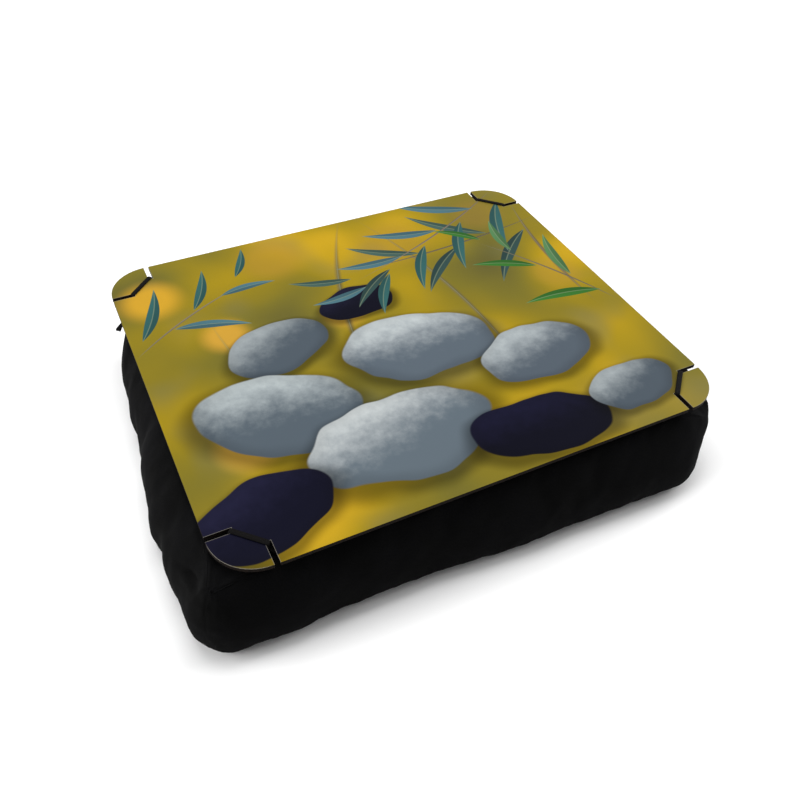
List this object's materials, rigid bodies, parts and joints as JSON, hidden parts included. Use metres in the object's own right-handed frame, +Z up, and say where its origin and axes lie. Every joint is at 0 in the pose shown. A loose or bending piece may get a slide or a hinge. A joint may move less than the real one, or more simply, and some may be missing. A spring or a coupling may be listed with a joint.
{
  "type": "lap tray with cushion",
  "caption": "Flat printed board held by corner elastics on a soft boxed cushion filled with beads, for use on the lap.",
  "frame": {"origin": "on the surface the cushion rests on, under the middle of the board", "axes": "+X along the board's long edge to the right, +Y towards the back, +Z up"},
  "size_m": [0.4302, 0.3642, 0.0763],
  "materials": {
    "hardboard": "laser-cut hardboard with a dark singed edge",
    "printed_coat": "smooth printed coat, golden olive ground with leaves and pebbles",
    "cover_fabric": "black brushed polyester",
    "lining": "white non-woven lining",
    "beads": "expanded polystyrene beads",
    "elastic": "black flat braided elastic",
    "thread": "black sewing thread"
  },
  "bodies": {
    "cushion": {"cover_top_panel": "cover_fabric", "cover_bottom_panel": "cover_fabric", "side_strip_front": "cover_fabric", "side_strip_right": "cover_fabric", "side_strip_back": "cover_fabric", "side_strip_left": "cover_fabric", "inner_liner": "lining", "bead_fill": "beads", "elastic_front_left": "elastic", "elastic_front_right": "elastic", "elastic_back_right": "elastic", "elastic_back_left": "elastic", "elastic_tacks": "thread"},
    "board": {"board_core": "hardboard", "board_print": "printed_coat"}
  },
  "joints": [
    {"name": "board_lift", "type": "slide", "parent": "cushion", "child": "board", "axis": [0, 0, 1], "range_m": [0, 0.02], "deforming": ["elastic_front_left", "elastic_front_right", "elastic_back_right", "elastic_back_left"]}
  ]
}
